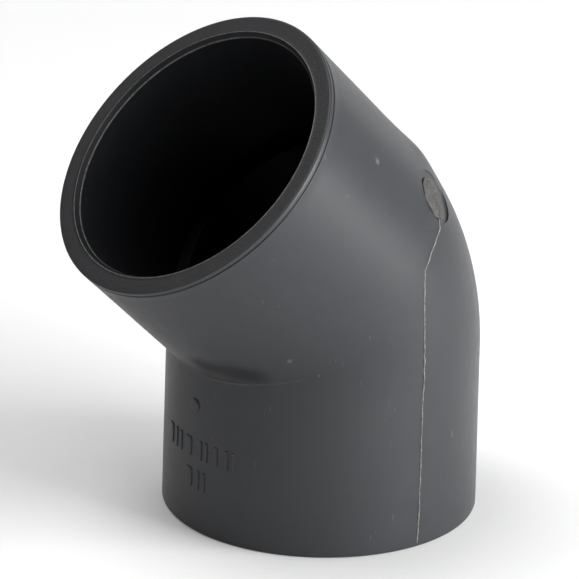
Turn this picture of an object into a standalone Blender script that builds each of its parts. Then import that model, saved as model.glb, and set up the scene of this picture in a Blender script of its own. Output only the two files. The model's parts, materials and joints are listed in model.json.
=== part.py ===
"""A 45 degree elbow for 50 mm pressure pipe, moulded in one piece of dark grey PVC-U.

The elbow stands on the end face of its lower socket. Its lower axis points straight up, its
bend lies in the XZ plane, and its upper socket leans towards -X. All sizes are in metres, and
the origin is at the middle of the bounding box, on the surface that the elbow stands on.

Outside, one circle is carried along the centre line: up the lower socket, round the bend about
the throat, and out along the upper socket. Inside, a tapered socket goes in from each end face
to its pipe stop, and a narrower waterway joins the two sockets round the same bend.
"""

import math

import bmesh
import bpy
from mathutils import Matrix, Vector

# Pipe and joint
PIPE_DIAMETER = 0.050
SOCKET_DEPTH = 0.031
SOCKET_MOUTH_CLEARANCE = 0.0003
SOCKET_ROOT_CLEARANCE = 0.0001
STOP_SHOULDER = 0.0025

# How much farther the pipe stops stand from the bend's centre than where two pipes would meet
STOP_STAND_OFF = 0.001624

# Body
BEND_ANGLE = math.radians(45.0)
SOCKET_WALL = 0.00405
BODY_DRAFT = 0.0003
THROAT_RADIUS = 0.0006

# Socket entry, rim and edges
ENTRY_WIDTH = 0.00068
ENTRY_DEPTH = 0.00085
RIM_LENGTH = 0.00085
GROOVE_WIDTH = 0.00045
GROOVE_DEPTH = 0.00028
EDGE_ROUNDING = 0.0004

# Gate mark: a shallow round recess on the side of the bend, with the gate's stub in it
GATE_RECESS_RADIUS = 0.0052
GATE_RECESS_DEPTH = 0.00055
GATE_STUB_RADIUS = 0.0039
GATE_STUB_DROP = 0.00005
GATE_STUB_ROOT = 0.0012
GATE_ALONG_BEND = math.radians(39.5)
GATE_ROUND_BODY = math.radians(42.0)

# Fineness of the facets
ROUND_SEGMENTS = 80
BEND_STEPS = 12
EDGE_STEPS = 3

# How far a cutter runs past the surface that it opens
CUT_OVERLAP = 0.005

# Sizes that follow from the ones above
PIPE_RADIUS = PIPE_DIAMETER / 2
MOUTH_RADIUS = PIPE_RADIUS + SOCKET_MOUTH_CLEARANCE / 2
ROOT_RADIUS = PIPE_RADIUS + SOCKET_ROOT_CLEARANCE / 2
ENTRY_RADIUS = MOUTH_RADIUS + ENTRY_WIDTH
WATERWAY_RADIUS = PIPE_RADIUS - STOP_SHOULDER
FACE_RADIUS = MOUTH_RADIUS + SOCKET_WALL
BEND_BODY_RADIUS = FACE_RADIUS - BODY_DRAFT
STOP_TO_CENTRE = ROOT_RADIUS * math.tan(BEND_ANGLE / 2) + STOP_STAND_OFF
CENTRE_TO_FACE = SOCKET_DEPTH + STOP_TO_CENTRE
CENTRE_LINE_RADIUS = BEND_BODY_RADIUS + THROAT_RADIUS
STRAIGHT_LENGTH = CENTRE_TO_FACE - CENTRE_LINE_RADIUS * math.tan(BEND_ANGLE / 2)

NODE_NAME = "elbow_body"
BODY_COLOUR = (0.058, 0.062, 0.066, 1.0)
BODY_ROUGHNESS = 0.42


def leftmost_reach():
    """Distance from the lower axis to the outermost point of the upper rim, towards -X."""
    along = (CENTRE_TO_FACE - EDGE_ROUNDING) * math.sin(BEND_ANGLE)
    across = (FACE_RADIUS - EDGE_ROUNDING) * math.cos(BEND_ANGLE)
    return along + across + EDGE_ROUNDING


LOWER_AXIS = Vector(((leftmost_reach() - FACE_RADIUS) / 2, 0.0, 0.0))
BEND_CENTRE = LOWER_AXIS + Vector((0.0, 0.0, CENTRE_TO_FACE))
THROAT_PIVOT = LOWER_AXIS + Vector((-CENTRE_LINE_RADIUS, 0.0, STRAIGHT_LENGTH))
UP = Vector((0.0, 0.0, 1.0))
UPPER_AXIS = Vector((-math.sin(BEND_ANGLE), 0.0, math.cos(BEND_ANGLE)))


def clear_scene():
    """Remove everything that a new Blender file starts with."""
    for scene_object in list(bpy.data.objects):
        bpy.data.objects.remove(scene_object, do_unlink=True)


def make_collection(name):
    """Return a new collection linked to the scene."""
    collection = bpy.data.collections.new(name)
    bpy.context.scene.collection.children.link(collection)
    return collection


def add_object(name, mesh, collection):
    """Put a mesh into a collection as a new object."""
    new_object = bpy.data.objects.new(name, mesh)
    collection.objects.link(new_object)
    return new_object


def add_cutter(name, mesh, collection):
    """Put a mesh into a collection as an object that only shapes another one."""
    cutter = add_object(name, mesh, collection)
    cutter.display_type = 'WIRE'
    cutter.hide_render = True
    return cutter


def add_boolean(target, tool, operation):
    """Join a tool to a target, or cut it away, with a Boolean modifier."""
    boolean = target.modifiers.new(tool.name, 'BOOLEAN')
    boolean.operation = operation
    boolean.solver = 'EXACT'
    boolean.object = tool


def quarter_round(radius, start_angle, turn, steps):
    """Points (across, along) of a quarter circle about its own centre."""
    angles = [start_angle + turn * step / steps for step in range(steps + 1)]
    return [(radius * math.cos(angle), radius * math.sin(angle)) for angle in angles]


def extend_ring(bm, ring_edges, centre, direction, distance, scale):
    """Extrude a ring of edges along a direction, and scale the new ring about its centre."""
    extruded = bmesh.ops.extrude_edge_only(bm, edges=ring_edges)['geom']
    new_verts = [item for item in extruded if isinstance(item, bmesh.types.BMVert)]
    new_edges = [item for item in extruded if isinstance(item, bmesh.types.BMEdge)]
    new_centre = centre + direction * distance
    bmesh.ops.translate(bm, verts=new_verts, vec=direction * distance)
    for vert in new_verts:
        vert.co = new_centre + (vert.co - new_centre) * scale
    ring = [edge for edge in new_edges if all(vert in new_verts for vert in edge.verts)]
    return ring, new_centre


def run_stations(bm, ring_edges, centre, direction, stations):
    """Carry a ring through stations (distance, radius), measured along its direction.

    The first station is where the ring already is.
    """
    previous_distance, previous_radius = stations[0]
    for distance, radius in stations[1:]:
        step = distance - previous_distance
        ring_edges, centre = extend_ring(
            bm, ring_edges, centre, direction, step, radius / previous_radius)
        previous_distance, previous_radius = distance, radius
    return ring_edges


def spin_bend(bm, ring_edges):
    """Turn a ring about the throat, from the lower axis to the upper one."""
    ring_verts = list({vert for edge in ring_edges for vert in edge.verts})
    spun = bmesh.ops.spin(
        bm, geom=ring_verts + ring_edges, cent=THROAT_PIVOT, axis=(0.0, -1.0, 0.0),
        angle=BEND_ANGLE, steps=BEND_STEPS, use_duplicate=False)['geom_last']
    return [item for item in spun if isinstance(item, bmesh.types.BMEdge)]


def start_ring(bm, radius, height):
    """Draw a ring about the lower axis, and return its edges."""
    place = Matrix.Translation(LOWER_AXIS + UP * height)
    circle = bmesh.ops.create_circle(
        bm, cap_ends=False, segments=ROUND_SEGMENTS, radius=radius, matrix=place)
    return list({edge for vert in circle['verts'] for edge in vert.link_edges})


def swept_mesh(name, lower_stations, upper_stations):
    """Close one circle carried along the lower axis, round the bend and out of the upper one.

    Lower stations are heights above the lower face. Upper stations are distances from the end
    of the bend.
    """
    bm = bmesh.new()
    ring = start_ring(bm, lower_stations[0][1], lower_stations[0][0])
    start_centre = LOWER_AXIS + UP * lower_stations[0][0]
    bmesh.ops.contextual_create(bm, geom=ring)
    ring = run_stations(bm, ring, start_centre, UP, lower_stations)
    ring = spin_bend(bm, ring)
    bend_end = BEND_CENTRE + UPPER_AXIS * (CENTRE_TO_FACE - STRAIGHT_LENGTH)
    ring = run_stations(bm, ring, bend_end, UPPER_AXIS, upper_stations)
    bmesh.ops.contextual_create(bm, geom=ring)
    bmesh.ops.recalc_face_normals(bm, faces=bm.faces)
    mesh = bpy.data.meshes.new(name)
    bm.to_mesh(mesh)
    bm.free()
    return mesh


def body_mesh():
    """Outside of the fitting: plain rounded lower end, drafted body, and a grooved upper rim."""
    rounding = quarter_round(EDGE_ROUNDING, -math.pi / 2, math.pi / 2, EDGE_STEPS)
    lower = [(along + EDGE_ROUNDING, FACE_RADIUS - EDGE_ROUNDING + across)
             for across, along in rounding]
    lower.append((STRAIGHT_LENGTH, BEND_BODY_RADIUS))

    rim_start = STRAIGHT_LENGTH - RIM_LENGTH
    groove_middle = rim_start - GROOVE_WIDTH / 2
    rounding = quarter_round(EDGE_ROUNDING, 0.0, math.pi / 2, EDGE_STEPS)
    upper = [
        (0.0, BEND_BODY_RADIUS),
        (rim_start - GROOVE_WIDTH, FACE_RADIUS),
        (groove_middle, FACE_RADIUS - GROOVE_DEPTH),
        (rim_start, FACE_RADIUS),
    ]
    upper += [(STRAIGHT_LENGTH - EDGE_ROUNDING + along, FACE_RADIUS - EDGE_ROUNDING + across)
              for across, along in rounding]
    return swept_mesh(NODE_NAME, lower, upper)


def waterway_mesh():
    """Passage between the two pipe stops, starting and ending inside the sockets."""
    start = SOCKET_DEPTH - CUT_OVERLAP
    lower = [(start, WATERWAY_RADIUS), (STRAIGHT_LENGTH, WATERWAY_RADIUS)]
    upper = [(0.0, WATERWAY_RADIUS), (STRAIGHT_LENGTH - start, WATERWAY_RADIUS)]
    return swept_mesh("waterway", lower, upper)


def socket_profile():
    """Half section (radius, depth) of a socket's hollow, from its root out past the face."""
    return [
        (0.0, SOCKET_DEPTH),
        (ROOT_RADIUS, SOCKET_DEPTH),
        (MOUTH_RADIUS, ENTRY_DEPTH),
        (ENTRY_RADIUS, 0.0),
        (ENTRY_RADIUS, -CUT_OVERLAP),
        (0.0, -CUT_OVERLAP),
    ]


def turned_cutter(name, profile, collection):
    """Turn a half section about its own Z axis with a Screw modifier."""
    mesh = bpy.data.meshes.new(name)
    points = [(radius, 0.0, height) for radius, height in profile]
    mesh.from_pydata(points, [(i, i + 1) for i in range(len(points) - 1)], [])
    cutter = add_cutter(name, mesh, collection)
    screw = cutter.modifiers.new("turn", 'SCREW')
    screw.steps = ROUND_SEGMENTS
    screw.render_steps = ROUND_SEGMENTS
    screw.use_merge_vertices = True
    screw.merge_threshold = 0.00001
    return cutter


def surface_point(along_bend, round_body):
    """Point and outward direction on the bend.

    The first angle goes along the bend from its lower end. The second goes round the body from
    the outside of the bend towards -Y.
    """
    outward = Vector((math.cos(along_bend), 0.0, math.sin(along_bend)))
    centre = THROAT_PIVOT + outward * CENTRE_LINE_RADIUS
    normal = outward * math.cos(round_body) + Vector((0.0, -1.0, 0.0)) * math.sin(round_body)
    return centre + normal * BEND_BODY_RADIUS, normal


def gate_disc(name, radius, foot, top, collection):
    """A disc square to the bend at the gate, between two heights over the bend's surface."""
    point, normal = surface_point(GATE_ALONG_BEND, GATE_ROUND_BODY)
    bm = bmesh.new()
    bmesh.ops.create_cone(
        bm, cap_ends=True, segments=ROUND_SEGMENTS // 2, radius1=radius, radius2=radius,
        depth=top - foot)
    mesh = bpy.data.meshes.new(name)
    bm.to_mesh(mesh)
    bm.free()
    disc = add_cutter(name, mesh, collection)
    disc.location = point + normal * (foot + top) / 2
    disc.rotation_mode = 'QUATERNION'
    disc.rotation_quaternion = UP.rotation_difference(normal)
    return disc


def body_material():
    """Satin dark grey PVC-U."""
    material = bpy.data.materials.new("dark_grey_pvc")
    material.use_nodes = True
    shader = material.node_tree.nodes["Principled BSDF"]
    shader.inputs["Base Color"].default_value = BODY_COLOUR
    shader.inputs["Roughness"].default_value = BODY_ROUGHNESS
    shader.inputs["Metallic"].default_value = 0.0
    return material


def shade_round(mesh):
    """Shade a mesh smooth, with sharp edges kept where faces meet at an angle."""
    mesh.shade_smooth()
    mesh.set_sharp_from_angle(angle=math.radians(35.0))


def build():
    """Model the elbow: the swept body, its gate mark, its sockets and its waterway."""
    clear_scene()
    parts = make_collection("pipe_elbow_45")
    cutters = make_collection("cutters")

    body = add_object(NODE_NAME, body_mesh(), parts)
    shade_round(body.data)
    body.data.materials.append(body_material())

    floor = -GATE_RECESS_DEPTH
    recess = gate_disc("gate_recess", GATE_RECESS_RADIUS, floor, CUT_OVERLAP, cutters)
    root = floor - GATE_STUB_ROOT
    stub = gate_disc("gate_stub", GATE_STUB_RADIUS, root, -GATE_STUB_DROP, cutters)

    lower_socket = turned_cutter("lower_socket", socket_profile(), cutters)
    lower_socket.location = LOWER_AXIS
    upper_socket = turned_cutter("upper_socket", socket_profile(), cutters)
    upper_socket.location = BEND_CENTRE + UPPER_AXIS * CENTRE_TO_FACE
    upper_socket.rotation_euler = (0.0, math.pi - BEND_ANGLE, 0.0)
    waterway = add_cutter("waterway", waterway_mesh(), cutters)

    add_boolean(body, recess, 'DIFFERENCE')
    add_boolean(body, stub, 'UNION')
    for hollow in (lower_socket, upper_socket, waterway):
        add_boolean(body, hollow, 'DIFFERENCE')


build()
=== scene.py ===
"""Looks of a moulded 45 degree PVC-U pipe elbow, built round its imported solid.

The elbow is one injection moulding, so one closed surface carries its outside, both end faces,
both sockets and the waterway, with the gate's recess cut into it. Thin closed surfaces stand on it
for what the mould left behind: the flash lines along the sides, the ridge in the bend's crease, the
torn stub of the gate and the raised size marks. Everything is in metres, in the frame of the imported
part: the lower socket's axis points up, the bend lies in the XZ plane, and the upper socket leans
towards -X.
"""

import json
import logging
import math
from dataclasses import dataclass
from enum import Enum
from typing import Any

import bpy
import numpy as np
from mathutils import Matrix, Vector

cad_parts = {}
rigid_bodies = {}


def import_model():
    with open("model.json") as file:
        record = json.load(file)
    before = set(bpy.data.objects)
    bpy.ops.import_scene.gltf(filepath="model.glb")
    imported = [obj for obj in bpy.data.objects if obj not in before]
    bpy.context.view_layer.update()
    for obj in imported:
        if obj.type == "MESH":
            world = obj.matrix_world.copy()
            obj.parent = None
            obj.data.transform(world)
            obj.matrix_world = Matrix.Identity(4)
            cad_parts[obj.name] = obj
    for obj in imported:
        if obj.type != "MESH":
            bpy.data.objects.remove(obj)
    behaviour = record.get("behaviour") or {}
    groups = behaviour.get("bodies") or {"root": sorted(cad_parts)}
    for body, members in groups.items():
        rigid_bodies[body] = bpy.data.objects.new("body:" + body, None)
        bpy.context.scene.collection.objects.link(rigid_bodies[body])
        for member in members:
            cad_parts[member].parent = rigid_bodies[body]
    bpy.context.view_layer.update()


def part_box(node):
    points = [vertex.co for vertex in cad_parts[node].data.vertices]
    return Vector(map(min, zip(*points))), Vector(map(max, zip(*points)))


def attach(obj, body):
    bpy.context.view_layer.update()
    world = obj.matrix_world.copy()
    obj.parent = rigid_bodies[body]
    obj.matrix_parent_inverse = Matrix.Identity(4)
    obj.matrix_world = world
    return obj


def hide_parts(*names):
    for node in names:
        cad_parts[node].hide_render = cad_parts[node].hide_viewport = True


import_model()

MM = 0.001
BODY_NODE = "elbow_body"
BODY = "root"

Array = np.ndarray
log = logging.getLogger("elbow")


class Zone(Enum):
    """Stretches of the moulding that have a finish of their own."""

    SKIN = 0
    RIM = 1
    BORE = 2
    EDGE = 3


class SmoothNoise:
    """A smooth random height made of a few sine waves with fixed seeds."""

    def __init__(self, seed: int, wavelength: float, waves: int = 12) -> None:
        """Draw the waves.

        Args:
            seed: Start of the random draws.
            wavelength: Typical length of a wave, in metres.
            waves: How many waves are added up.
        """
        draws = np.random.default_rng(seed)
        directions = draws.normal(size=(waves, 3))
        directions /= np.linalg.norm(directions, axis=1, keepdims=True)
        lengths = wavelength * draws.uniform(0.6, 1.6, size=(waves, 1))
        self.vectors = directions * (2 * math.pi / lengths)
        self.phases = draws.uniform(0.0, 2 * math.pi, size=waves)

    def at(self, points: Array) -> Array:
        """Mean of sin(k . p + phase) over the waves, scaled to about -1 to 1.

        Args:
            points: Positions, with x, y and z along the last axis.

        Returns:
            One height for each position.
        """
        waves = np.sin(points @ self.vectors.T + self.phases)
        return waves.sum(axis=-1) / math.sqrt(len(self.phases))


class MeshBuilder:
    """Turns grids of points into Blender meshes."""

    @staticmethod
    def grid_faces(rows: int, columns: int, rows_close: bool) -> Array:
        """Quads of a grid whose columns always close round.

        Args:
            rows: Number of rings.
            columns: Points in a ring.
            rows_close: Whether the last ring joins the first.

        Returns:
            Point indices, four for each quad.
        """
        index = np.arange(rows * columns).reshape(rows, columns)
        if rows_close:
            index = np.vstack([index, index[:1]])
        here, beyond = index[:-1], index[1:]
        corners = (here, np.roll(here, -1, axis=1), np.roll(beyond, -1, axis=1), beyond)
        return np.stack(corners, axis=-1).reshape(-1, 4)

    @staticmethod
    def make(name: str, points: Array, faces: list[list[int]]) -> bpy.types.Object:
        """Put points and faces into a new object, smooth shaded.

        Args:
            name: Name of the piece.
            points: Positions, one row each.
            faces: Point indices of each face.

        Returns:
            The new object, at the origin.
        """
        mesh = bpy.data.meshes.new(name)
        mesh.from_pydata(points.tolist(), [], faces)
        mesh.update()
        mesh.shade_smooth()
        piece = bpy.data.objects.new(name, mesh)
        bpy.context.scene.collection.objects.link(piece)
        return piece

    @classmethod
    def ring_solid(cls, name: str, rings: Array) -> bpy.types.Object:
        """Close a stack of rings into a solid, with a flat fan at each end.

        Args:
            name: Name of the piece.
            rings: Points of each ring, as rings by points by 3.

        Returns:
            The new object.
        """
        points, faces = cls.capped(rings)
        return cls.make(name, points, faces)

    @classmethod
    def capped(cls, rings: Array, start: int = 0) -> tuple[Array, list[list[int]]]:
        """Points and faces of a stack of rings with a middle point closing each end.

        Args:
            rings: Points of each ring, as rings by points by 3.
            start: Index that the first point gets.

        Returns:
            The points, and the faces as lists of indices.
        """
        rows, columns, _ = rings.shape
        ends = np.stack([rings[0].mean(axis=0), rings[-1].mean(axis=0)])
        points = np.vstack([rings.reshape(-1, 3), ends])
        sides = cls.grid_faces(rows, columns, rows_close=False) + start
        first = np.arange(columns) + start
        last = first + (rows - 1) * columns
        middle = np.full(columns, start + rows * columns)
        low_fan = np.stack([middle, np.roll(first, -1), first], axis=-1)
        high_fan = np.stack([middle + 1, last, np.roll(last, -1)], axis=-1)
        return points, sides.tolist() + low_fan.tolist() + high_fan.tolist()

    @classmethod
    def solids(cls, name: str, stacks: list[Array]) -> bpy.types.Object:
        """Put several capped stacks of rings into one object.

        Args:
            name: Name of the piece.
            stacks: One array of rings for each solid.

        Returns:
            The new object.
        """
        all_points, all_faces, start = [], [], 0
        for rings in stacks:
            points, faces = cls.capped(rings, start)
            all_points.append(points)
            all_faces += faces
            start += len(points)
        return cls.make(name, np.vstack(all_points), all_faces)


@dataclass(frozen=True)
class ElbowForm:
    """Sizes of the elbow and the surface that its outside follows.

    A place on the outside is given by its distance along the centre line, from the lower face
    up, and by its angle round the body, from the outside of the bend towards -Y.
    """

    body_radius: float
    axis_x: float
    centre_to_face: float
    bend_angle: float = math.radians(45.0)
    draft: float = 0.3 * MM
    throat_radius: float = 0.6 * MM
    edge_rounding: float = 0.4 * MM
    socket_depth: float = 31.0 * MM
    mouth_radius: float = 25.15 * MM
    root_radius: float = 25.05 * MM
    waterway_radius: float = 22.5 * MM
    entry_width: float = 0.68 * MM
    entry_depth: float = 0.85 * MM
    rim_length: float = 0.85 * MM
    groove_width: float = 0.45 * MM
    groove_depth: float = 0.28 * MM
    crease_rounding: float = 0.22 * MM
    crease_end: float = 0.45
    crease_spread: float = 2.2

    @classmethod
    def from_frame(cls) -> "ElbowForm":
        """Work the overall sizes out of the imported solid's box.

        The top of the upper rim is at H + (H - e) sin 45 + (R - e) cos 45 + e, where H is the
        height of the bend's centre, R the body's radius and e the rounding of the rim.

        Returns:
            The form that fills that box.
        """
        low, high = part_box(BODY_NODE)
        radius = (high.y - low.y) / 2
        slope = math.cos(math.radians(45.0))
        rounding = cls.edge_rounding
        above = high.z - rounding * (1 - slope) - (radius - rounding) * slope
        return cls(body_radius=radius, axis_x=high.x - radius, centre_to_face=above / (1 + slope))

    @property
    def bend_radius(self) -> float:
        """Body radius through the bend."""
        return self.body_radius - self.draft

    @property
    def centre_line_radius(self) -> float:
        """Radius of the centre line's arc about the throat."""
        return self.bend_radius + self.throat_radius

    @property
    def straight(self) -> float:
        """Length of each straight stretch of the centre line."""
        return self.centre_to_face - self.centre_line_radius * math.tan(self.bend_angle / 2)

    @property
    def arc(self) -> float:
        """Length of the centre line's arc."""
        return self.centre_line_radius * self.bend_angle

    @property
    def length(self) -> float:
        """Whole length of the centre line."""
        return 2 * self.straight + self.arc

    def frames(self, along: Array) -> tuple[Array, Array, Array]:
        """Centre, outward direction and tangent of the centre line.

        Args:
            along: Distances along the centre line.

        Returns:
            Three arrays of vectors, one vector for each distance.
        """
        turn = np.clip((along - self.straight) / self.centre_line_radius, 0.0, self.bend_angle)
        outward = np.stack([np.cos(turn), 0 * turn, np.sin(turn)], axis=-1)
        tangent = np.stack([-np.sin(turn), 0 * turn, np.cos(turn)], axis=-1)
        pivot = np.array([self.axis_x - self.centre_line_radius, 0.0, self.straight])
        before = np.minimum(along - self.straight, 0.0)
        after = np.maximum(along - self.straight - self.arc, 0.0)
        centre = pivot + self.centre_line_radius * outward
        return centre + tangent * (before + after)[..., None], outward, tangent

    def crease(self, along: Array, around: Array) -> Array:
        """How far the inside of the bend is drawn in to a crease, along the outward direction.

        A straight cylinder carried past the bend's start stands 1 / cos t as far from the
        throat's pivot as the swept body, t being the angle into the bend from the nearer end.
        The angle is rounded off near the middle of the bend, and the whole fades out towards
        the sides, where the two sockets flow into each other.

        Args:
            along: Distances along the centre line.
            around: Angles round the body.

        Returns:
            Distances to add.
        """
        turn = np.clip((along - self.straight) / self.centre_line_radius, 0.0, self.bend_angle)
        from_throat = self.centre_line_radius + self.bend_radius * np.cos(around)
        middle = self.bend_angle / 2
        soft = self.crease_rounding / np.maximum(from_throat, self.throat_radius)
        into = middle - np.sqrt((turn - middle) ** 2 + soft ** 2)
        into = np.maximum(into, 0.0)
        share = np.clip((-np.cos(around) - self.crease_end) / (1.0 - self.crease_end), 0.0, 1.0)
        share = share ** 2 * (3 - 2 * share)
        return from_throat * (1 / np.cos(into) - 1) * np.minimum(share * self.crease_spread, 1.0)

    def skin_radius(self, along: Array) -> Array:
        """Body radius: full at the faces, and drafted down to the bend."""
        from_face = np.minimum(along, self.length - along)
        return self.body_radius - self.draft * np.clip(from_face / self.straight, 0.0, 1.0)

    def place(self, along: Array, around: Array, radius: Array) -> tuple[Array, Array]:
        """Points at a radius from the centre line, and the directions away from it.

        The point is c + r (o cos a + y sin a), where c is the centre line's point, o the
        outward direction of the bend and y the direction -Y.

        Args:
            along: Distances along the centre line.
            around: Angles round the body.
            radius: Distances from the centre line.

        Returns:
            The points and the unit directions away from the centre line.
        """
        along, around, radius = np.broadcast_arrays(along, around, radius)
        centre, outward, _ = self.frames(along)
        across = np.array([0.0, -1.0, 0.0])
        away = outward * np.cos(around)[..., None] + across * np.sin(around)[..., None]
        return centre + away * radius[..., None], away

    def side_point(self, places: Array, side: float = -1.0) -> tuple[Array, Array]:
        """Drop points of the side view onto the body's side.

        The distance d from the centre line is found in the XZ plane, and y is the square root
        of r squared minus d squared.

        Args:
            places: Positions x and z in the side view.
            side: -1 for the side at -Y, 1 for the side at +Y.

        Returns:
            The points and the outward directions there.
        """
        pivot = np.array([self.axis_x - self.centre_line_radius, self.straight])
        offset = places - pivot
        turn = np.arctan2(offset[:, 1], offset[:, 0])
        turned = np.clip(turn, 0.0, self.bend_angle)
        outward = np.stack([np.cos(turned), np.sin(turned)], axis=-1)
        reach = np.sum(offset * outward, axis=-1)
        tangent = np.stack([-np.sin(turned), np.cos(turned)], axis=-1)
        along = self.straight + turned * self.centre_line_radius
        along = along + np.sum(offset * tangent, axis=-1)
        from_axis = reach - self.centre_line_radius
        around = np.arccos(np.clip(from_axis / self.skin_radius(along), -1.0, 1.0))
        return self.place(along, -side * around, self.skin_radius(along))


@dataclass
class MouldedBody:
    """The moulding itself: one surface, closed round the body and closed through the sockets."""

    form: ElbowForm
    columns: int = 384
    bend_rings: int = 44
    straight_rings: int = 14
    bore_rings: int = 16
    waterway_rings: int = 24
    corner_steps: int = 5
    small_rounding: float = 0.12 * MM
    entry_rounding: float = 0.17 * MM
    trim_height: float = 0.08 * MM
    trim_width: float = 0.20 * MM
    waviness: float = 0.012 * MM
    wave_length: float = 22.0 * MM
    wave_fade: float = 3.0 * MM
    long_band: float = 10.0 * MM
    wide_step: float = 1.5 * MM
    step_rings: int = 4
    mound_along: float = 52.0 * MM
    mound_around: float = 21.0
    mound_height: float = 0.42 * MM
    mound_radius: float = 4.2 * MM

    @staticmethod
    def stretch(start: float, end: float, steps: int) -> Array:
        """Even steps from one value towards another, without the last one."""
        return np.linspace(start, end, steps, endpoint=False)

    def corner(self, before: Array, at: Array, after: Array, rounding: float) -> Array:
        """Replace a corner of the section by a quadratic curve.

        The curve is (1-t)^2 A + 2t(1-t) P + t^2 B, where P is the corner and A and B lie at the
        rounding's length before and after it.

        Args:
            before: A section point before the corner.
            at: The corner.
            after: A section point after the corner.
            rounding: Length taken off each side.

        Returns:
            Section points along the curve.
        """
        start = at + (before - at) * rounding / np.linalg.norm(before - at)
        end = at + (after - at) * rounding / np.linalg.norm(after - at)
        t = np.linspace(0.0, 1.0, self.corner_steps + 1)[:, None]
        return (1 - t) ** 2 * start + 2 * t * (1 - t) * at + t ** 2 * end

    def section(self) -> tuple[Array, Array]:
        """Section of the wall as a closed loop of (distance along, radius).

        It runs up the outside from the lower face, across the upper face, down through the
        sockets and the waterway, and across the lower face. Each corner has its place, its
        rounding (none where the trimmed ridge stands), the zone of its curve and the zone of the
        band after it.

        Returns:
            The loop's points, and the zone of the band that follows each point.
        """
        form = self.form
        top, radius = form.length, form.body_radius
        small, edge = self.small_rounding, form.edge_rounding
        entry_radius = form.mouth_radius + form.entry_width
        groove_top = top - form.rim_length
        groove_low = groove_top - form.groove_width
        groove_mid = (groove_top + groove_low) / 2
        groove_radius = radius - form.groove_depth
        depth, entry = form.socket_depth, form.entry_depth

        corners: list[tuple[tuple[float, float], float, Zone, Zone]] = [
            ((0.0, radius), edge, Zone.SKIN, Zone.SKIN),
            ((groove_low, radius), small, Zone.SKIN, Zone.SKIN),
            ((groove_mid, groove_radius), small, Zone.SKIN, Zone.SKIN),
            ((groove_top, radius), small, Zone.SKIN, Zone.SKIN),
            ((top, radius), edge, Zone.SKIN, Zone.RIM),
            # The edge zone's pale finish is partly paler trimmed plastic, partly a painted highlight
            # on the inner edge and entry rounding.
            ((top, entry_radius), 0.0, Zone.EDGE, Zone.BORE),
            ((top - entry, form.mouth_radius), self.entry_rounding, Zone.EDGE, Zone.BORE),
            ((top - depth, form.root_radius), small, Zone.BORE, Zone.BORE),
            ((top - depth, form.waterway_radius), small, Zone.BORE, Zone.BORE),
            ((depth, form.waterway_radius), small, Zone.BORE, Zone.BORE),
            ((depth, form.root_radius), small, Zone.BORE, Zone.BORE),
            ((entry, form.mouth_radius), self.entry_rounding, Zone.EDGE, Zone.BORE),
            ((0.0, entry_radius), 0.0, Zone.EDGE, Zone.RIM),
        ]
        places = [np.array(place) for place, _, _, _ in corners]
        loop: list[Array] = []
        zones: list[Zone] = []
        for index, (_, rounding, corner_zone, zone) in enumerate(corners):
            before, at = places[index - 1], places[index]
            after = places[(index + 1) % len(places)]
            if rounding > 0.0:
                curve = self.corner(before, at, after, rounding)
            else:
                curve = self.trim_edge(at)
            loop += list(curve)
            zones += [corner_zone] * (len(curve) - 1) + [zone]
            steps = self.steps_between(curve[-1], after)
            loop += [curve[-1] + (after - curve[-1]) * step for step in steps]
            zones += [zone] * len(steps)
        return np.array(loop), np.array([zone.value for zone in zones])

    def trim_edge(self, at: Array) -> Array:
        """The sharp inner edge of a face, with the thin ridge that the mould leaves on it.

        The ridge on the lower face is worn flat, because the part stands on that face.

        Args:
            at: Section point of the edge.

        Returns:
            Section points over the ridge.
        """
        upper = at[0] > self.form.length / 2
        height, width = (self.trim_height if upper else 0.0), self.trim_width
        profile = [(0.0, 1.0), (0.45, 0.7), (1.0, 0.35), (0.8, 0.1), (0.0, 0.0)]
        if not upper:
            profile.reverse()
        return np.array([at + (rise * height, out * width) for rise, out in profile])

    def steps_between(self, start: Array, end: Array) -> Array:
        """Fractions at which a long band of the section gets more rings.

        Args:
            start: Section point where the band begins.
            end: Corner where it ends.

        Returns:
            Fractions between 0 and 1, ends left out.
        """
        form = self.form
        low, high = sorted((start[0], end[0]))
        crosses_bend = low < form.straight and high > form.straight + form.arc
        if crosses_bend:
            outside = start[1] > form.root_radius
            rings = self.bend_rings if outside else self.waterway_rings
            ends = (form.straight, form.straight + form.arc)
            bend = np.linspace(ends[0], ends[1], rings + 1)
            before = self.stretch(low, ends[0], self.straight_rings)[1:]
            after = np.linspace(ends[1], high, self.straight_rings + 1)[1:-1]
            distances = np.concatenate([before, bend, after])
            fractions = (distances - start[0]) / (end[0] - start[0])
            return np.sort(fractions)
        if high - low > self.long_band:
            return np.linspace(0.0, 1.0, self.bore_rings + 1)[1:-1]
        if abs(start[1] - end[1]) > self.wide_step:
            return np.linspace(0.0, 1.0, self.step_rings + 1)[1:-1]
        return np.array([])

    def mound(self, points: Array) -> Array:
        """Height of the low swelling beside the gate: h exp(-(d / r)^2), d from its middle.

        Args:
            points: Positions on the body.

        Returns:
            One height for each position.
        """
        along = np.array(self.mound_along)
        around = np.array(math.radians(self.mound_around))
        middle, _ = self.form.place(along, around, self.form.skin_radius(along))
        distance = np.linalg.norm(points - middle, axis=-1)
        return self.mound_height * np.exp(-((distance / self.mound_radius) ** 2))

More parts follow.
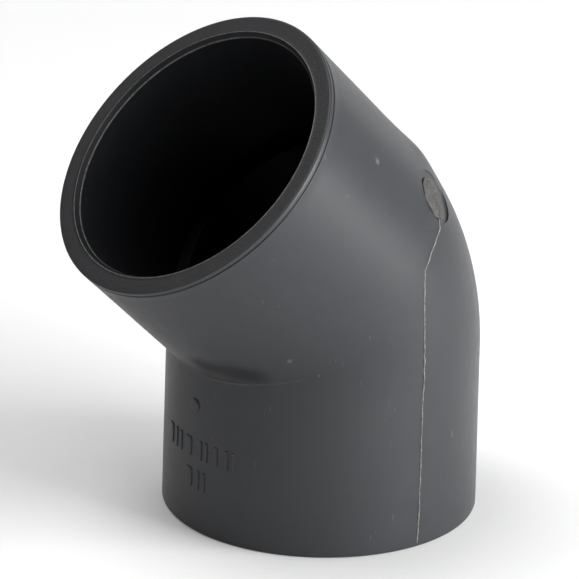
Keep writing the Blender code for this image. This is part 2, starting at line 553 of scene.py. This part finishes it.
    def build(self) -> bpy.types.Object:
        """Carry the section's points round the centre line.

        Returns:
            The moulding, with each face's material index set to its zone.
        """
        form = self.form
        loop, zones = self.section()
        along, radius = loop[:, :1], loop[:, 1:]
        outer = (zones == Zone.SKIN.value)[:, None]
        radius = np.where(outer & (np.abs(radius - form.body_radius) < 1e-6),
                          form.skin_radius(along), radius)
        around = np.arange(self.columns)[None, :] * (2 * math.pi / self.columns)
        points, away = form.place(along, around, radius)
        swell = SmoothNoise(7, self.wave_length).at(points) * self.waviness
        fade = np.clip(np.minimum(along, form.length - along) / self.wave_fade, 0.0, 1.0)
        points = points + away * (swell * fade)[..., None]
        _, outward, _ = form.frames(along)
        drawn = form.crease(along, around) * outer
        points = points + outward * drawn[..., None]
        points = points + away * (self.mound(points) * outer)[..., None]
        faces = MeshBuilder.grid_faces(len(loop), self.columns, rows_close=True)
        body = MeshBuilder.make("moulded_body", points.reshape(-1, 3), faces.tolist())
        slots = np.repeat(zones, self.columns).astype(np.int32)
        body.data.polygons.foreach_set("material_index", slots)
        log.info("moulded_body: %d rings of %d points", len(loop), self.columns)
        return body


@dataclass
class FlashLine:
    """Thin ragged ridge where the mould halves met, up one side of the body.

    Attributes:
        side: -1 for the side at -Y, 1 for the side at +Y.
        to_gate: Bends of the line, in millimetres across from the lower axis and up.
    """

    form: ElbowForm
    name: str
    side: float
    seed: int
    reaches_gate: bool
    height: float = 0.15 * MM
    width: float = 0.31 * MM
    sink: float = 0.12 * MM
    spacing: float = 0.25 * MM
    fade: float = 4.0
    drift: float = 0.02 * MM
    sides: int = 10
    straight_end: float = 47.0 * MM
    to_gate: tuple[tuple[float, float], ...] = (
        (0.3, 0.6), (0.4, 4.8), (0.6, 13.0), (0.6, 24.8), (0.8, 35.3), (0.6, 42.3), (0.6, 48.0),
        (0.8, 50.6), (1.0, 52.2), (1.2, 53.3), (3.2, 55.5), (5.3, 57.2), (7.4, 58.5), (7.8, 59.3),
        (8.5, 60.6))

    def route(self) -> Array:
        """Points of the line in the side view, evenly spaced.

        Returns:
            Positions x and z.
        """
        axis = self.form.axis_x
        if self.reaches_gate:
            corners = np.array([(axis + x * MM, z * MM) for x, z in self.to_gate])
        else:
            corners = np.array([(axis, self.form.edge_rounding), (axis, self.straight_end)])
        lengths = np.linalg.norm(np.diff(corners, axis=0), axis=1)
        distance = np.concatenate([[0.0], np.cumsum(lengths)])
        even = np.arange(0.0, distance[-1], self.spacing)
        return np.stack([np.interp(even, distance, corners[:, i]) for i in (0, 1)], axis=-1)

    def seat(self) -> tuple[Array, Array]:
        """Points of the route on the body, and the outward directions there."""
        return self.form.side_point(self.route(), self.side)

    def build(self) -> bpy.types.Object:
        """Carry a low arched section along the route, ragged in height and width.

        The section is an ellipse: across w cos t, up h sin t, with its lower half sunk in the
        body. Both sizes follow smooth noise and fall to nothing at the ends.

        Returns:
            The ridge.
        """
        points, normals = self.seat()
        tangents = np.gradient(points, axis=0)
        tangents /= np.linalg.norm(tangents, axis=1, keepdims=True)
        across = np.cross(normals, tangents)
        count = len(points)
        ragged = SmoothNoise(self.seed, 2.2 * MM).at(points)
        fine = SmoothNoise(self.seed + 1, 0.9 * MM).at(points)
        drift = SmoothNoise(self.seed + 2, 6.0 * MM).at(points) * self.drift
        fade = np.clip(np.minimum(np.arange(count), np.arange(count)[::-1]) / self.fade, 0.0, 1.0)
        width = self.width * (1.0 + 0.22 * ragged + 0.12 * fine) * (0.15 + 0.85 * fade)
        height = self.height * np.clip(1.0 + 0.45 * ragged + 0.25 * fine, 0.15, None) * fade
        t = np.linspace(0.0, 2 * math.pi, self.sides, endpoint=False)
        rise = np.where(np.sin(t) > 0, height[:, None] * np.sin(t), self.sink * np.sin(t))
        reach = 0.5 * width[:, None] * np.cos(t) + drift[:, None]
        rings = (points[:, None, :] + across[:, None, :] * reach[..., None]
                 + normals[:, None, :] * rise[..., None])
        log.info("%s: %d stations", self.name, count)
        return MeshBuilder.ring_solid(self.name, rings)


@dataclass
class CreaseLine(FlashLine):
    """Fainter ridge along the crease on the inside of the bend, made paler as a painted highlight."""

    height: float = 0.05 * MM
    width: float = 0.26 * MM
    fade: float = 70.0
    first: float = math.radians(132.0)
    last: float = math.radians(228.0)

    def seat(self) -> tuple[Array, Array]:
        """Points half way along the centre line, drawn in to the crease.

        Returns:
            The points and the unit directions away from the centre line.
        """
        form = self.form
        middle = form.length / 2
        count = int((self.last - self.first) * form.bend_radius / self.spacing)
        around = np.linspace(self.first, self.last, count)
        points, away = form.place(np.array(middle), around, form.skin_radius(np.array(middle)))
        _, outward, _ = form.frames(np.array(middle))
        return points + outward * form.crease(np.array(middle), around)[:, None], away


@dataclass
class GateMark:
    """Where the plastic entered: a round recess in the bend, with the torn stub of the gate."""

    form: ElbowForm
    along_bend: float = math.radians(39.5)
    around: float = math.radians(42.0)
    recess_radius: float = 5.2 * MM
    recess_depth: float = 0.55 * MM
    stub_radius: float = 4.0 * MM
    stub_drop: float = 0.10 * MM
    stub_shift: float = -1.15 * MM
    tear: float = 0.16 * MM
    rounding: float = 0.22 * MM
    ragged_edge: float = 0.035
    root: float = 0.8 * MM
    bevel: float = 0.1 * MM
    clear: float = 3.0 * MM
    sharp_angle: float = math.radians(42.0)
    columns: int = 96

    def plane(self) -> tuple[Array, Array, Array, Array]:
        """Place the mark on the skin.

        Returns:
            Its middle, its normal, and two directions across it.
        """
        along = self.form.straight + self.along_bend * self.form.centre_line_radius
        radius = self.form.skin_radius(np.array(along))
        point, normal = self.form.place(np.array(along), np.array(self.around), radius)
        right = np.cross(np.array([0.0, 0.0, 1.0]), normal)
        right /= np.linalg.norm(right)
        return point, normal, right, np.cross(normal, right)

    def turned(self, stations: Array, shift: float = 0.0) -> Array:
        """Turn a profile about the mark's normal.

        Args:
            stations: Radius and height over the skin of each ring.
            shift: How far the turning axis is moved to the right.

        Returns:
            Rings of points.
        """
        point, normal, right, up = self.plane()
        angle = np.arange(self.columns) * (2 * math.pi / self.columns)
        circle = np.cos(angle)[:, None] * right + np.sin(angle)[:, None] * up
        middle = point + right * shift
        return middle + stations[:, :1, None] * circle + stations[:, 1:, None] * normal

    def cut(self, body: bpy.types.Object, finish: bpy.types.Material) -> None:
        """Sink the round recess into the body.

        Args:
            body: The moulding.
            finish: Material of the recess.
        """
        radius, depth = self.recess_radius, self.recess_depth
        stations = np.array([(radius - self.bevel, -depth), (radius, self.bevel - depth),
                             (radius, self.clear)])
        cutter = MeshBuilder.ring_solid("recess_cutter", self.turned(stations))
        cutter.data.materials.append(finish)
        sink = body.modifiers.new("recess", 'BOOLEAN')
        sink.operation = 'DIFFERENCE'
        sink.solver = 'EXACT'
        sink.material_mode = 'TRANSFER'
        sink.object = cutter
        shaped = body.evaluated_get(bpy.context.evaluated_depsgraph_get())
        mesh = bpy.data.meshes.new_from_object(shaped)
        body.modifiers.clear()
        body.data = mesh
        mesh.set_sharp_from_angle(angle=self.sharp_angle)
        bpy.data.objects.remove(cutter, do_unlink=True)
        log.info("gate recess: %d faces in the body", len(mesh.polygons))

    def build(self) -> bpy.types.Object:
        """Make the stub: a low disc with a ragged edge and a torn top.

        The radius and the height of each ring follow smooth noise. The tear is deepest in the
        middle and fades out towards the edge.

        Returns:
            The stub.
        """
        t = np.linspace(0.0, math.pi / 2, 5)
        radius, top = self.stub_radius, -self.stub_drop
        edge = [(radius - self.rounding * (1 - math.cos(a)),
                 top - self.rounding * (1 - math.sin(a))) for a in t]
        flat = [(radius * share, top) for share in np.linspace(0.92, 0.04, 23)]
        stations = np.array([(radius, -self.recess_depth - self.root),
                             (radius, -self.recess_depth), *edge, *flat])
        rings = self.turned(stations, self.stub_shift)
        _, normal, _, _ = self.plane()
        middle = rings.mean(axis=1, keepdims=True)
        ragged = SmoothNoise(41, 2.4 * MM).at(rings) * self.ragged_edge
        rings = middle + (rings - middle) * (1 + ragged[..., None])
        share = stations[:, :1] / radius
        above = np.clip((stations[:, 1:] + self.recess_depth) / (0.3 * MM), 0.0, 1.0)
        coarse = SmoothNoise(31, 2.6 * MM).at(rings)
        fine = SmoothNoise(32, 0.7 * MM).at(rings)
        torn = (coarse * 0.7 + fine * 0.35) * self.tear * (1.0 - 0.55 * share) * above
        rings = rings + torn[..., None] * normal
        log.info("gate_stub: %d rings of %d points", *rings.shape[:2])
        return MeshBuilder.ring_solid("gate_stub", rings)


@dataclass
class SizeMarks:
    """Raised blank bars and a dot on the lower socket, where a fitting carries its size.

    Attributes:
        long_row: Middle and width of each bar of the upper row, in millimetres.
        short_row: Middle and width of each bar of the lower row, in millimetres.
    """

    form: ElbowForm
    rise: float = 0.20 * MM
    sink: float = 0.25 * MM
    shoulder: float = 0.16 * MM
    bar_squareness: float = 5.0
    dot_radius: float = 1.3 * MM
    bar_height: float = 3.9 * MM
    long_row_height: float = 16.2 * MM
    short_row_height: float = 10.2 * MM
    dot_height: float = 24.6 * MM
    long_row: tuple[tuple[float, float], ...] = (
        (-9.9, 0.8), (-8.4, 0.8), (-5.9, 0.8), (-3.4, 0.8), (-1.9, 0.8), (1.7, 2.0), (4.4, 0.8),
        (6.2, 0.8), (8.8, 2.0))
    short_row: tuple[tuple[float, float], ...] = ((-2.9, 0.8), (-1.3, 0.8), (1.4, 2.0))
    columns: int = 40

    def pad(self, centre: tuple[float, float], half: tuple[float, float],
            squareness: float) -> Array:
        """One raised pad with rounded shoulders, wrapped round the socket.

        Its outline is a superellipse, |x/a|^n + |y/b|^n = 1. Each ring is that outline, drawn
        in by an inset, at a height over the skin, and bent round the socket's axis.

        Args:
            centre: Distance round the socket from the inside of the bend, and height.
            half: Half width and half height.
            squareness: The exponent n: 2 is an ellipse, larger is squarer.

        Returns:
            Rings of points.
        """
        t = np.arange(self.columns) * (2 * math.pi / self.columns)
        cosine, sine = np.cos(t), np.sin(t)
        scale = (np.abs(cosine) ** squareness + np.abs(sine) ** squareness) ** (-1 / squareness)
        soft = self.shoulder
        stations = [(0.0, -self.sink), (0.0, self.rise - soft)]
        stations += [(soft * (1 - math.cos(a)), self.rise - soft * (1 - math.sin(a)))
                     for a in np.linspace(0.0, math.pi / 2, 4)[1:]]
        stations.append((min(half) * 0.6, self.rise))
        inset = np.array([station[0] for station in stations])[:, None]
        height = np.array([station[1] for station in stations])[:, None]
        across = centre[0] + (half[0] - inset) * scale * cosine
        upward = centre[1] + (half[1] - inset) * scale * sine
        angle = math.pi + across / self.form.body_radius
        radius = self.form.skin_radius(upward) + height
        points, _ = self.form.place(upward, angle, radius)
        return points

    def build(self) -> bpy.types.Object:
        """Make both rows of bars and the dot.

        Returns:
            All of them as one piece.
        """
        rows = ((self.long_row, self.long_row_height), (self.short_row, self.short_row_height))
        pads = [self.pad((x * MM, height), (width / 2 * MM, self.bar_height / 2),
                         self.bar_squareness)
                for row, height in rows for x, width in row]
        pads.append(self.pad((0.0, self.dot_height), (self.dot_radius, self.dot_radius), 2.0))
        log.info("size_marks: %d pads", len(pads))
        return MeshBuilder.solids("size_marks", pads)


class Wire:
    """A number, vector or colour in a material, which works in Python expressions."""

    def __init__(self, graph: "Graph", socket: bpy.types.NodeSocket) -> None:
        """Hold an output socket.

        Args:
            graph: The graph that the socket is in.
            socket: The socket.
        """
        self.graph = graph
        self.socket = socket

    def math(self, operation: str, *others: Any, clamp: bool = False) -> "Wire":
        """Feed this number, and others, to a Math node."""
        inputs = dict(enumerate((self, *others)))
        settings = {"operation": operation, "use_clamp": clamp}
        return self.graph.node("ShaderNodeMath", settings, inputs)

    def __add__(self, other: Any) -> "Wire":
        """This plus the other."""
        return self.math("ADD", other)

    __radd__ = __add__

    def __sub__(self, other: Any) -> "Wire":
        """This minus the other."""
        return self.math("SUBTRACT", other)

    def __rsub__(self, other: Any) -> "Wire":
        """The other minus this."""
        return self.graph.node("ShaderNodeMath", {"operation": "SUBTRACT"}, {0: other, 1: self})

    def __mul__(self, other: Any) -> "Wire":
        """This times the other."""
        return self.math("MULTIPLY", other)

    __rmul__ = __mul__

    def __truediv__(self, other: Any) -> "Wire":
        """This divided by the other."""
        return self.math("DIVIDE", other)

    def __rtruediv__(self, other: Any) -> "Wire":
        """The other divided by this."""
        return self.graph.node("ShaderNodeMath", {"operation": "DIVIDE"}, {0: other, 1: self})

    def ramp(self, low: float, high: float) -> "Wire":
        """Go smoothly from 0 at low to 1 at high."""
        inputs = {"Value": self, "From Min": low, "From Max": high}
        return self.graph.node("ShaderNodeMapRange", {"interpolation_type": "SMOOTHSTEP"}, inputs)

    def vector(self, operation: str, *others: Any, output: str = "Vector") -> "Wire":
        """Feed this vector, and others, to a Vector Math node."""
        inputs = dict(enumerate((self, *others)))
        return self.graph.node("ShaderNodeVectorMath", {"operation": operation}, inputs, output)


class Graph:
    """Builds a material's nodes."""

    def __init__(self, name: str) -> None:
        """Start a material that holds only its Principled shader and its output.

        Args:
            name: Name of the material.
        """
        self.material = bpy.data.materials.new(name)
        self.material.use_nodes = True
        self.tree = self.material.node_tree
        self.shader = self.tree.nodes["Principled BSDF"]
        self.position = self.node("ShaderNodeTexCoord", output="Object")

    def node(self, kind: str, settings: dict[str, Any] | None = None,
             inputs: dict[str | int, Any] | None = None, output: str | int = 0) -> Wire:
        """Add a node.

        Args:
            kind: The node's type.
            settings: Its properties, set first.
            inputs: What its sockets take, by name or number.
            output: The socket that is returned.

        Returns:
            That output.
        """
        added = self.tree.nodes.new(kind)
        for key, value in (settings or {}).items():
            setattr(added, key, value)
        for key, value in (inputs or {}).items():
            self.feed(added.inputs[key], value)
        return Wire(self, added.outputs[output])

    def feed(self, socket: bpy.types.NodeSocket, value: Any) -> None:
        """Link a wire to a socket, or set the socket to a constant.

        Args:
            socket: The input socket.
            value: The wire or the constant.
        """
        if isinstance(value, Wire):
            self.tree.links.new(value.socket, socket)
        else:
            socket.default_value = value

    def noise(self, size: float, detail: float = 2.0, roughness: float = 0.5,
              position: Wire | None = None) -> Wire:
        """Noise between 0 and 1 whose blobs have about the given size.

        Args:
            size: Size of a blob, in metres.
            detail: Number of finer layers.
            roughness: Strength of those layers.
            position: Where to read it, or the object's own coordinates.

        Returns:
            The noise.
        """
        inputs = {"Vector": position or self.position, "Scale": 1.0 / size, "Detail": detail,
                  "Roughness": roughness}
        return self.node("ShaderNodeTexNoise", None, inputs, "Fac")

    def blend(self, share: Any, first: Any, second: Any) -> Wire:
        """Mix two colours by a share."""
        inputs = {0: share, 6: first, 7: second}
        return self.node("ShaderNodeMix", {"data_type": "RGBA"}, inputs, 2)

    def spots(self, places: tuple[tuple[tuple[float, float, float], float], ...]) -> Wire:
        """Add up soft spots, each 1 at its middle and 0 at its radius.

        Args:
            places: Middle and radius of each spot, in millimetres.

        Returns:
            The sum.
        """
        total: Any = 0.0
        for centre, radius in places:
            middle = tuple(value * MM for value in centre)
            distance = self.position.vector("DISTANCE", middle, output="Value")
            total = (1.0 - distance.ramp(0.0, radius * MM)) + total
        return total

    def finish(self, colour: Any, roughness: Any, height: Wire, depth: float,
               strength: float = 1.0) -> bpy.types.Material:
        """Feed the shader.

        Args:
            colour: Base colour.
            roughness: Roughness.
            height: Relief between 0 and 1.
            depth: Depth of the relief, in metres.
            strength: Strength of the bump.

        Returns:
            The material.
        """
        bump_inputs = {"Strength": strength, "Distance": depth, "Height": height}
        bump = self.node("ShaderNodeBump", None, bump_inputs)
        self.feed(self.shader.inputs["Base Color"], colour)
        self.feed(self.shader.inputs["Roughness"], roughness)
        self.feed(self.shader.inputs["Normal"], bump)
        return self.material


def grey(level: float, blue: float = 0.0) -> tuple[float, float, float, float]:
    """A grey whose blue is raised by a share, and whose red is lowered by a third of it."""
    return (level * (1 - blue / 3), level, level * (1 + blue), 1.0)


@dataclass(frozen=True)
class SatinSkin:
    """Outside of the moulding: satin, faintly mottled, with a few scuffs.

    Attributes:
        scuffs: Middle and radius of each pale scuff, in millimetres.
        crease_shade_spots: Middle and radius of each patch of painted shade above the crease, in
            millimetres.
    """

    level: float = 0.039
    blue: float = 0.11
    gloss_low: float = 0.33
    gloss_high: float = 0.45
    scuffs: tuple[tuple[tuple[float, float, float], float], ...] = (
        ((3.6, -23.3, 74.3), 1.0), ((-13.0, -21.1, 39.3), 0.8), ((-6.5, -27.8, 71.3), 0.5))
    crease_shade_spots: tuple[tuple[tuple[float, float, float], float], ...] = (
        ((-21.0, -7.0, 35.6), 4.5), ((-18.9, -11.4, 35.2), 5.0), ((-16.2, -14.8, 34.6), 4.5),
        ((-21.0, 7.0, 35.6), 4.5), ((-18.9, 11.4, 35.2), 5.0), ((-16.2, 14.8, 34.6), 4.5))

    def material(self) -> bpy.types.Material:
        """Mottle the colour, paint shade above the crease, and add grain, scuffs and orange peel.

        Returns:
            The material.
        """
        graph = Graph("satin_skin")
        broad = graph.noise(14 * MM, 3.0)
        mottle = graph.noise(3.2 * MM, 4.0, 0.6)
        grain = graph.noise(0.35 * MM, 2.0)
        base = graph.blend(broad, grey(self.level * 0.92, self.blue),
                           grey(self.level * 1.08, self.blue))
        colour = graph.blend(mottle.ramp(0.35, 0.75) * 0.35, base,
                             grey(self.level * 1.22, self.blue * 0.6))
        stretched = graph.node(
            "ShaderNodeMapping", None,
            {"Vector": graph.position, "Rotation": (0.3, 0.7, 0.2), "Scale": (1.0, 1.0, 0.12)})
        hairlines = graph.noise(0.45 * MM, 1.0, position=stretched).ramp(0.70, 0.78)
        worn = graph.noise(9 * MM, 2.0).ramp(0.52, 0.72)
        marks = hairlines * worn * 0.35 + graph.spots(self.scuffs) * grain * 0.6
        colour = graph.blend(marks.math("MINIMUM", 1.0), colour, grey(0.32, 0.02))
        # Painted shade: the skin is darkened in soft spots just above the crease, where the bend's
        # hollow lies in shade.
        crease_shade = graph.spots(self.crease_shade_spots).math("MINIMUM", 1.0)
        colour = graph.blend(crease_shade * 0.75, colour, grey(self.level * 0.25, self.blue))
        roughness = mottle * (self.gloss_high - self.gloss_low) + self.gloss_low + marks * 0.2
        roughness = roughness + crease_shade * 0.25
        relief = graph.noise(1.6 * MM, 2.0) * 0.55 + grain * 0.25 + marks * 0.4
        return graph.finish(colour, roughness, relief, 0.018 * MM)


@dataclass(frozen=True)
class TrimmedRim:
    """End faces: finely pitted and duller than the skin."""

    level: float = 0.024
    blue: float = 0.12
    gloss: float = 0.50

    def material(self) -> bpy.types.Material:
        """Speckle the face and pit its relief.

        Returns:
            The material.
        """
        graph = Graph("trimmed_rim")
        speckle = graph.noise(0.45 * MM, 3.0, 0.65)
        cloud = graph.noise(5 * MM, 3.0)
        light = speckle.ramp(0.56, 0.72) * 0.5 + cloud * 0.25
        colour = graph.blend(light, grey(self.level * 0.75, self.blue),
                             grey(self.level * 2.2, self.blue))
        roughness = speckle * 0.2 + (self.gloss - 0.1)
        return graph.finish(colour, roughness, speckle, 0.10 * MM)


@dataclass(frozen=True)
class DrawnBore:
    """Sockets and waterway: smooth from the cores, with faint marks where they were drawn."""

    # Painted shade: level and shine are set below the skin's, so the inside of the sockets reads
    # darker than the same plastic outside.
    level: float = 0.025
    blue: float = 0.15
    gloss: float = 0.45
    shine: float = 0.25

    def material(self) -> bpy.types.Material:
        """Vary the colour a little and add fine grain.

        Returns:
            The material.
        """
        graph = Graph("drawn_bore")
        cloud = graph.noise(8 * MM, 3.0)
        grain = graph.noise(0.5 * MM, 2.0)
        colour = graph.blend(cloud, grey(self.level * 0.88, self.blue),
                             grey(self.level * 1.12, self.blue))
        roughness = cloud * 0.1 + grain * 0.06 + (self.gloss - 0.08)
        graph.feed(graph.shader.inputs["Specular IOR Level"], self.shine)
        return graph.finish(colour, roughness, grain, 0.012 * MM)


@dataclass(frozen=True)
class PaleEdge:
    """Plastic made paler where thin or torn plastic was stretched, and painted highlights on edges.
    """

    name: str
    dark: float
    pale: float
    size: float
    depth: float

    def material(self) -> bpy.types.Material:
        """Mix dark and pale plastic by a coarse noise.

        Returns:
            The material.
        """
        graph = Graph(self.name)
        patches = graph.noise(self.size, 3.0, 0.6)
        fine = graph.noise(self.size * 0.3, 2.0)
        share = (patches * 0.7 + fine * 0.3).ramp(0.38, 0.62)
        colour = graph.blend(share, grey(self.dark, 0.0), grey(self.pale, -0.06))
        roughness = share * 0.15 + 0.42
        return graph.finish(colour, roughness, fine, self.depth)


@dataclass(frozen=True)
class Softbox:
    """A square lamp that points at the middle of the elbow, placed by two angles in degrees."""

    name: str
    azimuth: float
    elevation: float
    power: float
    distance: float = 0.9
    width: float = 0.6


@dataclass
class Studio:
    """Camera, pale floor, white surroundings and soft lamps."""

    form: ElbowForm
    camera_azimuth: float = math.radians(-37.495)
    camera_elevation: float = math.radians(21.273)
    camera_roll: float = math.radians(1.460)
    camera_distance: float = 943.43 * MM
    lens_mm: float = 319.47
    sensor_mm: float = 36.0
    aim_right: float = -6.382 * MM
    aim_up: float = 0.792 * MM
    aim_height: float = 40.0 * MM
    floor_size: float = 4.0
    floor_gap: float = 0.05 * MM
    lamps: tuple[Softbox, ...] = (
        Softbox("front_right", 30.0, 12.0, 12.4),
        Softbox("front_right_high", 30.0, 42.0, 1.4),
        Softbox("front", 0.0, 12.0, 4.0),
        Softbox("right_high", 60.0, 42.0, 1.6),
        Softbox("right", 90.0, 12.0, 0.5),
        Softbox("right_edge", 120.0, 12.0, 1.1),
        Softbox("back_right_low", 150.0, 12.0, 0.8),
        Softbox("back", -170.0, 42.0, 0.5),
        Softbox("back_left", -130.0, 42.0, 1.2),
        Softbox("top_back", -140.0, 68.0, 4.2))
    surround: float = 0.02
    contrast: float = 0.85

    @staticmethod
    def direction(azimuth: float, elevation: float) -> Vector:
        """Unit vector from the elbow towards a place; azimuth 0 is -Y, and 90 degrees is +X."""
        flat = math.cos(elevation)
        return Vector((math.sin(azimuth) * flat, -math.cos(azimuth) * flat, math.sin(elevation)))

    def add_camera(self) -> None:
        """Place the camera and make it the scene's own."""
        back = self.direction(self.camera_azimuth, self.camera_elevation)
        level = Vector((0.0, 0.0, 1.0)).cross(back).normalized()
        right = Matrix.Rotation(self.camera_roll, 3, back) @ level
        up = back.cross(right)
        target = Vector((self.form.axis_x, 0.0, self.aim_height))
        target += right * self.aim_right + up * self.aim_up
        lens = bpy.data.cameras.new("camera")
        lens.lens = self.lens_mm
        lens.sensor_width = self.sensor_mm
        lens.clip_end = 20.0
        camera = bpy.data.objects.new("camera", lens)
        turn = Matrix((right, up, back)).transposed().to_4x4()
        camera.matrix_world = Matrix.Translation(target + back * self.camera_distance) @ turn
        bpy.context.scene.collection.objects.link(camera)
        bpy.context.scene.camera = camera

    def add_lamps(self) -> None:
        """Hang the soft lamps round the elbow."""
        target = Vector((0.0, 0.0, self.aim_height))
        for lamp in self.lamps:
            light = bpy.data.lights.new(lamp.name, 'AREA')
            light.size = lamp.width
            light.energy = lamp.power
            towards = self.direction(math.radians(lamp.azimuth), math.radians(lamp.elevation))
            holder = bpy.data.objects.new(lamp.name, light)
            holder.location = target + towards * lamp.distance
            holder.rotation_mode = 'QUATERNION'
            holder.rotation_quaternion = towards.to_track_quat('Z', 'Y')
            bpy.context.scene.collection.objects.link(holder)

    def add_surroundings(self) -> None:
        """White all round for the eye, and a dimmer white for what lights the elbow."""
        world = bpy.data.worlds.new("white_surroundings")
        bpy.context.scene.world = world
        world.use_nodes = True
        tree = world.node_tree
        background = tree.nodes["Background"]
        seen = tree.nodes.new("ShaderNodeLightPath").outputs["Is Camera Ray"]
        strength = tree.nodes.new("ShaderNodeMapRange")
        strength.inputs["To Min"].default_value = self.surround
        strength.inputs["To Max"].default_value = 1.0
        tree.links.new(seen, strength.inputs["Value"])
        tree.links.new(strength.outputs["Result"], background.inputs["Strength"])
        background.inputs["Color"].default_value = (1.0, 1.0, 1.0, 1.0)

    def add_floor(self) -> None:
        """Lay a plain pale floor under the elbow, a hair below its lower face."""
        corners = np.array([(-0.5, -0.5, 0), (0.5, -0.5, 0), (0.5, 0.5, 0), (-0.5, 0.5, 0)])
        corners = corners * self.floor_size - (0.0, 0.0, self.floor_gap)
        floor = MeshBuilder.make("floor", corners, [[0, 1, 2, 3]])
        graph = Graph("pale_floor")
        cloud = graph.noise(0.3, 2.0)
        colour = graph.blend(cloud, grey(0.90), grey(0.93))
        floor.data.materials.append(graph.finish(colour, 0.8, cloud, 0.0001))

    def build(self) -> None:
        """Set the whole studio up."""
        self.add_camera()
        self.add_lamps()
        self.add_surroundings()
        self.add_floor()
        bpy.context.scene.view_settings.view_transform = 'Standard'
        bpy.context.scene.view_settings.gamma = self.contrast


def dress(piece: bpy.types.Object, *finishes: bpy.types.Material) -> None:
    """Give a piece its materials and the body it rides on.

    Args:
        piece: The piece.
        finishes: Its materials, in the order of its slots.
    """
    for finish in finishes:
        piece.data.materials.append(finish)
    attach(piece, BODY)


def main() -> None:
    """Build the studio and every piece of the elbow, in order."""
    logging.basicConfig(level=logging.INFO, format="%(name)s: %(message)s")
    form = ElbowForm.from_frame()
    Studio(form).build()

    skin = SatinSkin().material()
    rim = TrimmedRim().material()
    bore = DrawnBore().material()
    flash = PaleEdge("flash_edge", 0.12, 0.24, 0.8 * MM, 0.02 * MM).material()
    # Partly paler trimmed plastic, partly a painted highlight on the sockets' inner edges and entry
    # roundings.
    edge = PaleEdge("pale_trim_and_painted_highlight", 0.10, 0.20, 0.9 * MM, 0.02 * MM).material()
    # Painted highlight: the crease ridge's paler finish stands in for the bright line along the
    # crease.
    worn = PaleEdge("crease_ridge_painted_highlight", 0.05, 0.10, 2.0 * MM, 0.02 * MM).material()
    torn = PaleEdge("torn_gate", 0.040, 0.085, 1.0 * MM, 0.06 * MM).material()

    gate = GateMark(form)
    body = MouldedBody(form).build()
    dress(body, skin, rim, bore, edge)
    gate.cut(body, skin)
    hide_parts(BODY_NODE)

    near = FlashLine(form, "flash_line_near", -1.0, 11, True).build()
    far = FlashLine(form, "flash_line_far", 1.0, 17, False).build()
    crease = CreaseLine(form, "crease_line", 0.0, 23, False).build()
    dress(near, flash)
    dress(far, flash)
    dress(crease, worn)

    dress(gate.build(), torn)

    marks = SizeMarks(form).build()
    dress(marks, skin)


if __name__ == "__main__":
    main()
